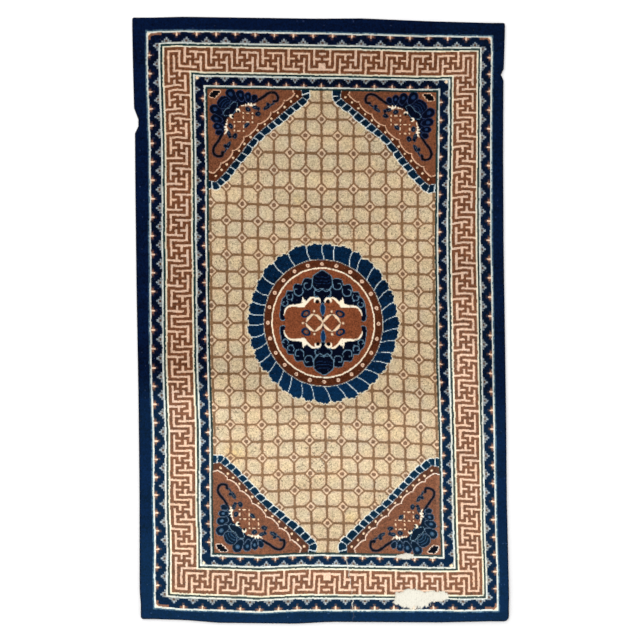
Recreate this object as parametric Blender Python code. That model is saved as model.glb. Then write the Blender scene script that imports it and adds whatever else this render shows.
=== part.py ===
# A hand-knotted Chinese pile rug, lying flat with its pile up.
# The rug is one closed solid: a flat underside, a rounded pile edge and a slightly uneven pile
# surface, with the worn places sunk to the cotton foundation.
# Metres, +Z up. X runs across the rug and Y along it. The origin is under the middle of its box.

import math

import bmesh
import bpy

# Overall size, to which the outline's tables below keep
HALF_WIDTH = 0.6215      # middle line to the furthest point of a long side
HALF_LENGTH = 1.0003     # middle line to the furthest point of an end
CORNER_ROUND = 0.012     # radius of the corners

# Thickness
PILE_TOP = 0.0110        # pile surface above the floor
FOUNDATION_TOP = 0.0032  # cotton foundation where the pile has gone
UNEVEN = 0.0005          # most that the surface rises or falls from PILE_TOP
WAVE_ACROSS = 0.43       # distance from one high place to the next, across the rug
WAVE_ALONG = 0.57        # the same, along the rug

# Spacing of the surface's points
STEP_ACROSS = 0.034
STEP_ALONG = 0.034

# The rug isn't square: its sides lean and wave a little, one has a notch and the other a small tear.
# Left and right sides as (y, x), near and far ends as (x, y).
LEFT_SIDE = (
    (-1.000, -0.5900), (-0.920, -0.5965), (-0.590, -0.5970), (-0.260, -0.6005), (0.070, -0.6065),
    (0.460, -0.6110), (0.615, -0.6120), (0.638, -0.6010), (0.662, -0.6005), (0.700, -0.6150),
    (0.860, -0.6190), (1.000, -0.6215),
)
RIGHT_SIDE = (
    (-1.000, 0.6205), (-0.920, 0.6215), (-0.745, 0.6175), (-0.590, 0.6140), (-0.330, 0.6120),
    (-0.065, 0.6085), (0.265, 0.6035), (0.600, 0.6020), (0.826, 0.6030), (0.846, 0.5945),
    (0.866, 0.6040), (1.000, 0.6080),
)
NEAR_END = (
    (-0.622, -0.9845), (-0.500, -0.9880), (-0.387, -0.9970), (-0.113, -1.0000), (0.000, -0.9940),
    (0.380, -0.9960), (0.622, -0.9910),
)
FAR_END = (
    (-0.622, 0.9960), (-0.450, 1.0003), (0.000, 0.9940), (0.150, 0.9950), (0.380, 0.9855),
    (0.622, 0.9790),
)
NOTCH_ROWS = (0.615, 0.638, 0.662, 0.700)
TEAR_ROWS = (0.826, 0.846, 0.866)

# Places worn bare, as ovals: (x, y, half size across, half size along)
WORN_PLACES = (
    (0.303, -0.918, 0.066, 0.031),
    (0.369, -0.907, 0.054, 0.020),
    (0.280, -0.778, 0.031, 0.010),
)
WORN_COLUMNS = (0.236, 0.252, 0.270, 0.288, 0.306, 0.326, 0.346, 0.368, 0.392, 0.416, 0.428)
WORN_ROWS = (-0.952, -0.940, -0.925, -0.908, -0.895, -0.884, -0.792, -0.784, -0.772, -0.764)
BARE_UP_TO = 0.75        # share of an oval's radius that is quite bare
FULL_FROM = 1.20         # share of its radius where the pile is whole again

# Rounded edge of the pile, from the floor up: (share of PILE_TOP, inset from the outline)
EDGE_PROFILE = ((0.0, 0.0020), (0.20, 0.0), (0.60, 0.0004), (0.86, 0.0020), (1.0, 0.0060))

# Colour of the pile as a whole: the tan of the field, deepened by the navy and brown
PILE_COLOUR = (0.27, 0.20, 0.13, 1.0)
PILE_ROUGHNESS = 0.92


def clear_scene():
    """Remove whatever the scene holds."""
    for item in list(bpy.data.objects):
        bpy.data.objects.remove(item, do_unlink=True)


def along(table, place):
    """Value of a table of (place, value) rows at a place, straight between its rows."""
    if place <= table[0][0]:
        return table[0][1]
    for (start, first), (end, second) in zip(table, table[1:]):
        if place <= end:
            return first + (second - first) * (place - start) / (end - start)
    return table[-1][1]


def stations(half, step, extras):
    """Even places from -half to half, with the extra ones in place of those close to them."""
    count = round(2 * half / step)
    even = [-half + 2 * half * i / count for i in range(1, count)]
    kept = [place for place in even if all(abs(place - extra) > step / 3 for extra in extras)]
    return sorted(kept + list(extras) + [-half, half])


def on_outline_map(s, t):
    """Point of the rug for s from -HALF_WIDTH to HALF_WIDTH and t likewise along its length."""
    across_share = (s + HALF_WIDTH) / (2 * HALF_WIDTH)
    along_share = (t + HALF_LENGTH) / (2 * HALF_LENGTH)
    left, right = along(LEFT_SIDE, t), along(RIGHT_SIDE, t)
    near, far = along(NEAR_END, s), along(FAR_END, s)
    x = left + (right - left) * across_share
    y = near + (far - near) * along_share
    return x, y


def worn_share(x, y):
    """1 where the pile has gone, 0 where it is whole."""
    share = 0.0
    for centre_x, centre_y, half_x, half_y in WORN_PLACES:
        radius = math.hypot((x - centre_x) / half_x, (y - centre_y) / half_y)
        slope = (FULL_FROM - radius) / (FULL_FROM - BARE_UP_TO)
        share = max(share, min(1.0, slope))
    return share


def pile_height(x, y):
    """Height of the surface above the floor."""
    wave = math.cos(2 * math.pi * x / WAVE_ACROSS) * math.cos(2 * math.pi * y / WAVE_ALONG)
    whole = PILE_TOP + UNEVEN * wave
    return whole + (FOUNDATION_TOP - whole) * worn_share(x, y)


def inward(i, j, last_column, last_row):
    """Direction from the outline into the rug at a border point of the grid."""
    toward_x = (i == 0) - (i == last_column)
    toward_y = (j == 0) - (j == last_row)
    return toward_x, toward_y


def border_indices(last_column, last_row):
    """Grid indices of the border, once round against the clock from the near left corner."""
    near = [(i, 0) for i in range(last_column)]
    right = [(last_column, j) for j in range(last_row)]
    far = [(i, last_row) for i in range(last_column, 0, -1)]
    left = [(0, j) for j in range(last_row, 0, -1)]
    return near + right + far + left


def outline_point(columns, rows, i, j):
    """Point of the outline, drawn in at the corners so that they are round."""
    toward_x, toward_y = inward(i, j, len(columns) - 1, len(rows) - 1)
    x, y = on_outline_map(columns[i], rows[j])
    if toward_x and toward_y:
        draw_in = CORNER_ROUND * (1 - math.sqrt(0.5))
        x += toward_x * draw_in
        y += toward_y * draw_in
    return x, y


def make_rug():
    """The whole rug as one mesh object."""
    corner_columns = (-HALF_WIDTH + CORNER_ROUND, HALF_WIDTH - CORNER_ROUND)
    corner_rows = (-HALF_LENGTH + CORNER_ROUND, HALF_LENGTH - CORNER_ROUND)
    columns = stations(HALF_WIDTH, STEP_ACROSS, corner_columns + WORN_COLUMNS)
    rows = stations(HALF_LENGTH, STEP_ALONG, corner_rows + NOTCH_ROWS + TEAR_ROWS + WORN_ROWS)
    last_column, last_row = len(columns) - 1, len(rows) - 1
    border = border_indices(last_column, last_row)
    bm = bmesh.new()

    # Rings up the edge of the pile, the last of which is the border of the surface
    rings = []
    for height_share, inset in EDGE_PROFILE:
        ring = []
        for i, j in border:
            toward_x, toward_y = inward(i, j, last_column, last_row)
            x, y = outline_point(columns, rows, i, j)
            x += toward_x * inset
            y += toward_y * inset
            ring.append(bm.verts.new((x, y, height_share * pile_height(x, y))))
        rings.append(ring)
    for lower, upper in zip(rings, rings[1:]):
        for k in range(len(border)):
            following = (k + 1) % len(border)
            bm.faces.new((lower[k], lower[following], upper[following], upper[k]))
    bm.faces.new(list(reversed(rings[0])))

    # Pile surface
    surface = dict(zip(border, rings[-1]))
    for i in range(1, last_column):
        for j in range(1, last_row):
            x, y = on_outline_map(columns[i], rows[j])
            surface[i, j] = bm.verts.new((x, y, pile_height(x, y)))
    for i in range(last_column):
        for j in range(last_row):
            corners = ((i, j), (i + 1, j), (i + 1, j + 1), (i, j + 1))
            bm.faces.new([surface[corner] for corner in corners])

    bmesh.ops.recalc_face_normals(bm, faces=bm.faces[:])
    mesh = bpy.data.meshes.new("rug")
    bm.to_mesh(mesh)
    bm.free()
    mesh.shade_smooth()
    mesh.set_sharp_from_angle(angle=math.radians(50))
    rug = bpy.data.objects.new("rug", mesh)
    bpy.context.collection.objects.link(rug)
    return rug


def pile_material():
    """Matt wool."""
    material = bpy.data.materials.new("wool_pile")
    material.use_nodes = True
    shader = material.node_tree.nodes["Principled BSDF"]
    shader.inputs["Base Color"].default_value = PILE_COLOUR
    shader.inputs["Roughness"].default_value = PILE_ROUGHNESS
    shader.inputs["Metallic"].default_value = 0.0
    return material


def main():
    clear_scene()
    rug = make_rug()
    rug.data.materials.append(pile_material())


main()
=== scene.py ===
# Looks of a hand-knotted Chinese rug: its pile knot by knot, its edges, its worn places and its back.
#
# The design is drawn first, as a weaver's chart: a sheet of yarn numbers, in steps of one design knot,
# with its middle at (0, 0). Field, border and medallion are drawn in one quarter and mirrored, and the
# corner pieces and petals then in their own places, each a little different. The pile's mesh has a face
# for each knot, which looks up the chart where it lies on the rug. Metres, +Z up, +Y to the far end.

import math

import bpy
import numpy as np
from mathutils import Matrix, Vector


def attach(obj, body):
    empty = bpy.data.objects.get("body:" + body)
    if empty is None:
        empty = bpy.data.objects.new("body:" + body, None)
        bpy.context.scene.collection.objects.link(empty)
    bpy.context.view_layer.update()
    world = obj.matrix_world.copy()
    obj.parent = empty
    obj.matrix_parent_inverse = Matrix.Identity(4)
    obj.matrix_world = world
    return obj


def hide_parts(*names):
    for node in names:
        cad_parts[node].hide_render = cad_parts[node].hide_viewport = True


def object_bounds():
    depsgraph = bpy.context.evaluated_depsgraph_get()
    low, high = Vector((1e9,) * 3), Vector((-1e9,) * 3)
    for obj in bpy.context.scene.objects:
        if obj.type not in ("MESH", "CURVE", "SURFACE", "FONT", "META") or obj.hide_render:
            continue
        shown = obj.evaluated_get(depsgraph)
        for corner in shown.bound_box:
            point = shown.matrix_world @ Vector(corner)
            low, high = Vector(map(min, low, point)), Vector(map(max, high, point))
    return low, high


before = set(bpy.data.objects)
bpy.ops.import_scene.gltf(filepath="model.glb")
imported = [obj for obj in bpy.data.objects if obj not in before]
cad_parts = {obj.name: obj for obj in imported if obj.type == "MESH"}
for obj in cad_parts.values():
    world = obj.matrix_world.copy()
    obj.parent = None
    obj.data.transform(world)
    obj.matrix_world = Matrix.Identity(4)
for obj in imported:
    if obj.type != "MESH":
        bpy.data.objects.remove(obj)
cad_low, cad_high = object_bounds()

STEP = 0.0033  # one step of the chart
KNOT = 0.0028  # one face of the pile's mesh
BACK_THICKNESS = 0.0005  # skin of knot backs and wefts under the rug
# Sizes of the rug, as in its solid
PILE_TOP = 0.011
FOUNDATION_TOP = 0.0032
UNEVEN = 0.0005
WAVE_ACROSS = 0.43
WAVE_ALONG = 0.57
# Radius of each corner, first the near ones, the left one before the right one; all 0.012 in the solid
CORNER_ROUND = ((0.01, 0.018), (0.006, 0.006))
# Edges of the pile and of the back, from the back's upper side to the knots' faces: (share, inset)
PILE_EDGE = ((0.05, 0.002), (0.2, 0.0), (0.6, 0.0004), (0.86, 0.002), (1.0, 0.006))
BACK_EDGE = ((0.0, 0.0), (1.0, 0.0))
OUTLINE_SHARE = 0.2  # share of the pile's height at which the solid is widest

# Places worn bare, about as in the solid, as (x, y, half size across, half size along)
WORN_PLACES = (
    (0.303, -0.918, 0.064, 0.031),
    (0.367, -0.911, 0.056, 0.02),
    (0.28, -0.778, 0.031, 0.01),
)
WORN_RIM = (1.12, -0.3)  # share of its size at which a place starts, and over what it wears bare
# A worn fold that runs in from the near end, as (x, y)
FOLD_LINE = ((0.084, -0.778), (0.089, -0.815), (0.098, -0.857), (0.105, -0.914), (0.108, -0.989))
FOLD_WIDTH = 0.0044
FOLD_STEEP = 3.2  # its width over that of its edges
FOLD_DEPTH = 0.0015
# How bare it is, as (y, share)
FOLD_WEAR = (
    (-0.99, 0.02), (-0.955, 0.08), (-0.945, 0.75), (-0.918, 0.65), (-0.905, 0.3), (-0.85, 0.35),
    (-0.838, 0.95), (-0.815, 0.7), (-0.8, 0.4), (-0.778, 0.8),
)

# Where the pattern lies. The outer cream line's distance from the middle lines, on each side: the long
# sides as (y, x), the ends as (x, y). The border has its own thickness on each side.
LEFT_LINE = (
    (-1.0, -0.549), (-0.76, -0.55), (-0.62, -0.555), (-0.36, -0.555), (-0.23, -0.56),
    (-0.13, -0.5633), (0.17, -0.5633), (0.27, -0.5667), (0.56, -0.5667), (0.66, -0.57), (0.86, -0.5765),
)
RIGHT_LINE = (
    (-1.0, 0.58), (-0.68, 0.5785), (-0.48, 0.5752), (-0.24, 0.5719), (-0.03, 0.5686),
    (0.12, 0.5653), (0.27, 0.562), (0.76, 0.562), (0.86, 0.5653),
)
NEAR_LINE = (
    (-0.53, -0.948), (-0.46, -0.9544), (-0.36, -0.9577), (-0.265, -0.961), (-0.2, -0.9643),
    (-0.133, -0.961), (-0.067, -0.9577), (0.527, -0.9577),
)
FAR_LINE = (
    (-0.53, 0.9563), (-0.33, 0.9563), (-0.166, 0.953), (0.033, 0.9497), (0.2, 0.9464),
    (0.33, 0.9431), (0.527, 0.9431),
)
LEFT_BORDER, RIGHT_BORDER, NEAR_BORDER, FAR_BORDER = 0.198, 0.185, 0.192, 0.193
MEDALLION_Y = -0.0099  # the medallion lies a little nearer the near end

# A hand-knotted pattern slips from its even place. At these places across and along the rug, near end
# first, it lies this many steps further right and further to the far end.
SLIP_COLUMNS = (-0.56, -0.47, -0.38, 0.0, 0.25, 0.4, 0.47, 0.56)
SLIP_ROWS = (-0.94, -0.85, -0.7, -0.4, -0.15, 0.1, 0.37, 0.6, 0.77, 0.94)
SLIP_ACROSS = (
    (0, 0, -1, -1.5, 0.5, 2, 3.5, 2.5),
    (-0.5, 0, 0, 0, 0.5, 1.5, 3.5, 2.5),
    (0.5, 0.5, 1, 1.5, 1, 0, 2, 1),
    (0, 0, 1, 0, 0, 0, 1.5, 1),
    (0, 0, 1, 0, -0.5, -1.5, 1, 0.5),
    (-0.5, 0, 0, -0.5, 0.5, -1, 1, 1),
    (0.5, 0, 0.5, -0.5, 0.5, 0, 1.5, 1),
    (0, 0, 0, 0, 0, 1, 2.5, 1),
    (0, 0.5, 1, 0.5, 1, 1.5, 2.5, 1.5),
    (0.5, 1, 1.5, 2, 2, 1.5, 2, 0.5),
)
SLIP_ALONG = (
    (-0.5, -0.5, -0.5, -0.5, -0.5, -0.5, -1, -0.5),
    (-1.5, 0, 0, 0, -2, -2.5, -2, -2),
    (-1.5, -1, 0, 1, 0, -2, -3.5, -5.5),
    (-3.5, -2, -1, 0, -2.5, -5, -4.5, -6),
    (-3, -2.5, -0.5, 1, -0.5, -5, -3, -5),
    (0.5, -1, 1, 0, -1, -2.5, 0, -1.5),
    (1.5, 1, 1, -2.5, -1.5, -0.5, 2.5, 1.5),
    (2, 4.5, 1.5, 1, 1, 1.5, 5, 2),
    (-2, 2.5, -0.5, -0.5, -0.5, 0, 1.5, 3),
    (-1, 0, -0.5, -0.5, -1, -1, -1.5, -2),
)

# The chart, in steps
CHART_HALF = (192, 308)
SAMPLES = 4  # chart points to a step
RING_SPARE, PETAL_SPARE = 2, 4  # steps beyond the dark ring and the petals in the parts drawn for them
FIELD_HALF = (114, 231.5)
BORDER = 58.5

# Bands of the border, from the outside in: (yarn's name, thickness)
BANDS = (
    ("haze", 0.7), ("pale_line", 1.55), ("guard_navy", 10.15), ("pale_line", 1.6), ("green", 2),
    ("cream", 1.6), ("fret_ground", 23.9), ("cream", 1.4), ("green", 2), ("pale_line", 1.6),
    ("guard_navy", 8.5), ("pale_line", 1.5), ("green", 2),
)
FRET_BAND = 6
HAZE = 0.5  # blurred edge of the plain navy border

# One repeat of the key fret, from the outside in; a hash is brown
FRET_REPEAT = (
    ".#########",
    ".#.......#",
    ".###.###.#",
    "...#.#.#.#",
    ".#####.#.#",
    ".#.#...#.#",
    "##.###.#.#",
    ".....#.#..",
    "######.###",
)
# The fret's corner, outermost at the top left
FRET_CORNER = (
    "#######",
    "#.....#",
    "#.###.#",
    "#.#.#.#",
    "#.#.#.#",
    "#.#.#.#",
    "#.#.#.#",
    "#.#.#..",
    "#.#.###",
)
FRET_DEEP = 9  # bars and gaps from its outside to its inside
FRET_MIDDLE = (60, 109)  # bar or gap that lies on the rug's middle lines
FRET_SIDE_START = 5  # place along the sides at which a repeat starts
FRET_MIDDLE_GAP = (5, 6)  # where the bar on the middle line is left out
BAR_SHARE = 0.6  # of a bar and a gap together

# Half rosettes of the guard stripes, as (from and to off their middle, from and to off their base, yarn)
PALE_ROSETTE = (
    (0, 4.9, 0, 1.8, "grey"), (3.3, 4.9, 0.4, 1.8, "mist"), (0, 2.5, 0, 3.6, "mist"),
    (0, 0.9, 3.6, 5.5, "sky"), (0, 1.2, 0.7, 2.7, "umber"),
)
WARM_ROSETTE = (
    (0, 1.2, 0, 5.8, "plum"), (0, 4.6, 0, 2.7, "plum"), (0, 2.9, 0.3, 2.3, "amber"),
    (0, 0.75, 0, 3.6, "bead"),
)
# Guard stripes: (band, length of a repeat on the ends and on the sides, size of its rosettes, whether
# the pale ones lie on the middle lines and the inner edge)
GUARDS = ((2, (19.1, 18.35), 1.0, True), (10, (17.55, 18.42), 0.88, False))
LAST_ROSETTE = 0.55  # share of a repeat from the stripe's end in which no rosette lies
# Colours in their corners: (furthest from one side, from the other, and from both together, yarn)
GUARD_CORNERS = (
    ((12.5, 2.2, 14.7, "amber"), (2.2, 6.5, 8.7, "amber"), (6, 6, 6, "amber"), (3, 3, 3, "peach")),
    ((6, 6, 6, "grey"),),
)
INNER_SPOT = ((2.2, 1.6), 1.5)  # place and radius of the spot in the inner stripe's corner

# Yarns: name, colour as sRGB out of 255, how much its dye lots differ, how much its knots differ
YARNS = (
    ("navy", (2, 15, 43), 0.26, 0.6),
    ("haze", (58, 84, 100), 0.2, 0.5),
    ("guard_navy", (2, 10, 32), 0.24, 0.9),
    ("cream", (226, 216, 190), 0.04, 0.12),
    ("pale_line", (206, 209, 199), 0.04, 0.12),
    ("green", (14, 40, 41), 0.14, 0.3),
    ("fret_brown", (104, 62, 39), 0.14, 0.42),
    ("fret_ground", (212, 178, 153), 0.06, 0.22),
    ("mist", (130, 136, 138), 0.1, 0.3),
    ("grey", (92, 98, 102), 0.1, 0.36),
    ("sky", (146, 156, 162), 0.08, 0.25),
    ("umber", (72, 50, 40), 0.1, 0.2),
    ("plum", (54, 38, 44), 0.12, 0.36),
    ("amber", (122, 82, 63), 0.12, 0.3),
    ("peach", (238, 206, 170), 0.05, 0.14),
    ("bead", (230, 194, 166), 0.05, 0.14),
    ("field", (195, 175, 141), 0.08, 0.34),
    ("field_edge", (195, 171, 141), 0.08, 0.32),
    ("lattice", (122, 91, 63), 0.12, 0.3),
    ("blush", (211, 182, 152), 0.05, 0.24),
    ("spot", (120, 89, 66), 0.1, 0.24),
    ("rust", (123, 66, 40), 0.12, 0.38),
    ("brick", (116, 69, 46), 0.12, 0.4),
    ("dark_rust", (78, 38, 20), 0.14, 0.46),
    ("rim", (66, 58, 72), 0.08, 0.2),
    ("petal", (3, 29, 55), 0.34, 0.62),
    ("teal", (4, 27, 46), 0.3, 0.66),
    ("ink", (2, 6, 24), 0.2, 0.6),
    ("blue", (22, 46, 80), 0.14, 0.3),
    ("pale_blue", (98, 128, 146), 0.1, 0.2),
    ("steel", (44, 58, 90), 0.12, 0.24),
    ("slate", (58, 72, 88), 0.12, 0.24),
    ("scallop", (226, 184, 152), 0.05, 0.14),
    ("ring", (92, 44, 26), 0.1, 0.2),
    ("white", (252, 236, 208), 0.02, 0.08),
    ("petal_line", (222, 230, 228), 0.04, 0.14),
    ("chalk", (236, 238, 226), 0.02, 0.1),
    ("black", (8, 6, 10), 0.1, 0.2),
    ("lens", (10, 46, 84), 0.1, 0.3),
)
YARN = {row[0]: number for number, row in enumerate(YARNS)}


# Drawing on the chart

ROOT_HALF = math.sqrt(0.5)
CURVE_PIECES = 6  # straight pieces between two points of a smooth line
TINY = 1e-9


def smooth_line(points, closed=False):
    """A smooth curve through a few points, as more points."""
    points = np.asarray(points, float)
    count = len(points)
    picked = []
    for k in range(count if closed else count - 1):
        near = np.arange(k - 1, k + 3)
        before, start, end, after = points[near % count if closed else near.clip(0, count - 1)]
        for t in np.arange(CURVE_PIECES) / CURVE_PIECES:
            picked.append(0.5 * (
                2 * start + (end - before) * t
                + (2 * before - 5 * start + 4 * end - after) * t ** 2
                + (3 * start - before - 3 * end + after) * t ** 3
            ))
    if not closed:
        picked.append(points[-1])
    return np.array(picked)


def ramp(value, start, length, height=1.0):
    """0 up to a start, and a height from a length beyond it. A negative length runs the other way."""
    return height * np.clip((value - start) / length, 0.0, 1.0)


class Sheet:
    """Part of a chart: yarn numbers, with two coordinates for each of its points."""

    def __init__(self, yarn, x, y):
        self.yarn, self.x, self.y = yarn, x, y

    def part(self, window):
        """A window on the sheet. What is painted on it is painted on the sheet."""
        return Sheet(self.yarn[window], self.x[window], self.y[window])

    def from_segment(self, start, end):
        """Distance from a straight segment, and the share of it at which the segment is nearest."""
        run = end - start
        share = ((self.x - start[0]) * run[0] + (self.y - start[1]) * run[1]) / max(run @ run, TINY)
        share = np.clip(share, 0.0, 1.0)
        return np.hypot(self.x - start[0] - share * run[0], self.y - start[1] - share * run[1]), share

    def stroke(self, points, width):
        """Distance from a smooth line of a given width, negative within."""
        line = smooth_line(points)
        nearest = np.inf
        for start, end in zip(line, line[1:]):
            nearest = np.minimum(nearest, self.from_segment(start, end)[0])
        return nearest - width / 2

    def blob(self, points):
        """Distance from a smooth closed shape through a few points, negative within."""
        line = smooth_line(points, closed=True)
        nearest, inside = np.inf, False
        for start, end in zip(line, np.roll(line, -1, axis=0)):
            nearest = np.minimum(nearest, self.from_segment(start, end)[0])
            spans = (start[1] > self.y) != (end[1] > self.y)
            slope = (end[0] - start[0]) / ((end[1] - start[1]) or TINY)
            inside = inside ^ (spans & (self.x < start[0] + (self.y - start[1]) * slope))
        return np.where(inside, -nearest, nearest)

    def oval(self, centre, radii, turn=0.0):
        """Distance from an oval, negative within."""
        x, y = self.x - centre[0], self.y - centre[1]
        along = x * math.cos(turn) + y * math.sin(turn)
        across = y * math.cos(turn) - x * math.sin(turn)
        long, wide = np.broadcast_to(radii, 2)
        return (np.hypot(along / long, across / wide) - 1.0) * min(long, wide)

    def fill(self, where, name):
        """Give some of the points one yarn."""
        self.yarn[where] = YARN[name]

    def paint(self, distance, name, grow=0.0):
        """Fill a shape, and as far as grow round it."""
        self.fill(distance < grow, name)

    def outlined(self, distance, inside, line, width):
        """Paint a shape with a line round it."""
        self.paint(distance, line, width)
        self.paint(distance, inside)

    def dab(self, name, *ovals):
        """Paint ovals, each as (centre, radii, turn)."""
        for facts in ovals:
            self.paint(self.oval(*facts), name)

    def draw(self, name, points, width):
        """Paint a smooth line."""
        self.paint(self.stroke(points, width), name)


# The border, in the quarter where both coordinates are positive

def bars_passed(depth, pair, first_share):
    """How many bars and gaps end before a depth, where the first of each pair is a share of it."""
    whole, part = np.divmod(depth, pair)
    return 2 * whole + (part >= first_share * pair)


def fret_number(depth, half, middle):
    """Which bar or gap of the fret a distance from its outside falls in, counted from 0."""
    thickness = BANDS[FRET_BAND][1]
    near = bars_passed(depth, thickness / ((FRET_DEEP - 1) / 2 + BAR_SHARE), BAR_SHARE)
    # Up to the rug's middle line come whole pairs of a gap and a bar, and then half a gap, or else a
    # whole gap and half a bar
    pairs, gap_left = divmod(middle - FRET_DEEP, 2)
    pairs += 1 - BAR_SHARE / 2 if gap_left else (1 - BAR_SHARE) / 2
    far = FRET_DEEP + bars_passed(depth - thickness, (half - thickness) / pairs, 1 - BAR_SHARE)
    return np.where(depth < thickness, near, far).astype(int)


def fret_is_bar(column, row):
    """Whether a place of the fret is a brown bar, for its places counted from the outer corner."""
    repeat, corner = (
        np.array([[mark == "#" for mark in line] for line in part]) for part in (FRET_REPEAT, FRET_CORNER)
    )
    corner_wide, period = corner.shape[1], repeat.shape[1]
    deep_row, deep_column = (np.clip(place, 0, FRET_DEEP - 1) for place in (row, column))
    on_end = repeat[deep_row, (column - corner_wide) % period]
    on_side = repeat[deep_column, (FRET_SIDE_START - row) % period]
    in_corner = corner[deep_row, np.clip(column, 0, corner_wide - 1)]
    bar = np.where(row < FRET_DEEP, np.where(column < corner_wide, in_corner, on_end), on_side)
    return bar & ~((column == FRET_MIDDLE[0]) & np.isin(row, FRET_MIDDLE_GAP))


def paint_border(sheet):
    """Paint the bands, the fret and the guard stripes into a quarter."""
    outward = np.maximum(sheet.x - FIELD_HALF[0], sheet.y - FIELD_HALF[1])
    inward = BORDER - outward
    sheet.fill(outward >= BORDER, "haze")
    sheet.fill(outward >= BORDER + HAZE, "navy")
    edge = 0.0
    halves = []
    for name, thickness in BANDS:
        halves.append([half + BORDER - edge for half in FIELD_HALF])
        in_band = (inward >= edge) & (outward >= 0)
        sheet.fill(in_band, name)
        if name == "fret_ground":
            half_a, half_b = halves[-1]
            column = fret_number(half_a - sheet.x, half_a, FRET_MIDDLE[0])
            row = fret_number(half_b - sheet.y, half_b, FRET_MIDDLE[1])
            sheet.fill(in_band & fret_is_bar(column, row), "fret_brown")
        edge += thickness
    for (band, *facts), corner in zip(GUARDS, GUARD_CORNERS):
        half = halves[band]
        paint_guard(sheet, half, BANDS[band][1], *facts)
        u, v = half[0] - sheet.x, half[1] - sheet.y
        for wide, long, both, name in corner:
            sheet.fill((u >= 0) & (v >= 0) & (u < wide) & (v < long) & (u + v < both), name)
    (across, along), radius = INNER_SPOT
    sheet.dab("peach", ((half[0] - across, half[1] - along), radius))


def paint_guard(sheet, half, wide, pitches, size, pale_in_middle):
    """Two facing, staggered rows of half rosettes along both legs of a guard stripe."""
    ground = sheet.yarn == YARN["guard_navy"]
    legs = ((sheet.x, half[0], half[1] - sheet.y), (sheet.y, half[1], half[0] - sheet.x))
    for (along, end, depth), pitch in zip(legs, pitches):
        in_leg = ground & (depth >= 0) & (depth < wide) & (along < end - LAST_ROSETTE * pitch)
        for shape, is_pale in ((PALE_ROSETTE, True), (WARM_ROSETTE, False)):
            in_middle = is_pale == pale_in_middle
            beside = np.abs((along / pitch - (0.0 if in_middle else 0.5) + 0.5) % 1.0 - 0.5) * pitch / size
            height = (wide - depth if in_middle else depth) / size
            for inner, outer, low, high, name in shape:
                in_part = (beside >= inner) & (beside < outer) & (height >= low) & (height < high)
                sheet.fill(in_leg & in_part, name)


# The field

LATTICE_PITCH = (16.05, 16.85)
LATTICE_LINE = 1.2  # half width
DIAMOND = 5.9  # half a diagonal
DIAMOND_LINE = 1.2  # half width, along the diagonal
SPOT = 2.2
BLEED = 2.4  # how far the lattice's dye has run into the field
CROSSING = 3.3  # reach of a plain crossing's rounded corners


def paint_field(sheet):
    """A net of squares with a diamond on every other crossing."""
    a, b = sheet.x, sheet.y
    column, row = np.round(a / LATTICE_PITCH[0]), np.round(b / LATTICE_PITCH[1])
    off_a = np.abs(a - column * LATTICE_PITCH[0])
    off_b = np.abs(b - row * LATTICE_PITCH[1])
    reach, nearer = off_a + off_b, np.minimum(off_a, off_b)
    in_field = (a < FIELD_HALF[0]) & (b < FIELD_HALF[1])
    in_diamond = in_field & ((column + row) % 2 == 0)
    for where, name in (
        (in_field, "field"),
        (in_field & (nearer < LATTICE_LINE + BLEED), "field_edge"),
        (in_field & ((nearer < LATTICE_LINE) | (reach < CROSSING)), "lattice"),
        (in_diamond & (reach < DIAMOND + DIAMOND_LINE), "lattice"),
        (in_diamond & (reach < DIAMOND - DIAMOND_LINE), "blush"),
        (in_diamond & (np.hypot(off_a, off_b) < SPOT), "spot"),
    ):
        sheet.fill(where, name)


# The medallion

MEDALLION = (75.7, 81)  # outer radii of the petals
RING = (59.6, 64)  # outer radii of the dark ring
CIRCLE = (51.3, 55.4)  # radii of the cream circle
CIRCLE_LINE = 0.65  # half its width
DOT_RING = (55.6, 59.8)
DOTS = 24
DOT = 1.9
DOT_HEART = 0.665
# Cloud scrolls of the bat's wing: (centre, size, turn)
SCROLLS = (
    ((14.6, 38), 4.4, 0.2), ((24.2, 32), 4.7, 0.0), ((33, 26.4), 3.4, -0.2), ((38, 19.6), 3, -0.3),
)
# A scroll turns in on itself: (direction from its centre, share of its size)
SCROLL_HOOK = ((2.6, 1.0), (3.5, 1.0), (4.5, 1.05), (5.5, 1.05), (6.5, 0.9), (7.3, 0.45))


def paint_medallion(sheet):
    """The dark ring, its dots and what lies within, in a quarter."""
    ring, circle = sheet.oval((0, 0), RING), sheet.oval((0, 0), CIRCLE)
    sheet.paint(ring, "rim", 0.2)
    sheet.paint(ring, "dark_rust", -0.4)
    for k in range(DOTS // 4 + 1):
        turn = 2 * math.pi * k / DOTS
        centre = (DOT_RING[0] * math.sin(turn), DOT_RING[1] * math.cos(turn))
        sheet.dab("bead", (centre, DOT))
        sheet.dab("amber", (centre, DOT_HEART))
    sheet.paint(circle, "white", CIRCLE_LINE)
    sheet.paint(circle, "rust", -CIRCLE_LINE)
    paint_bat(sheet)
    paint_heart_of_medallion(sheet)


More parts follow.
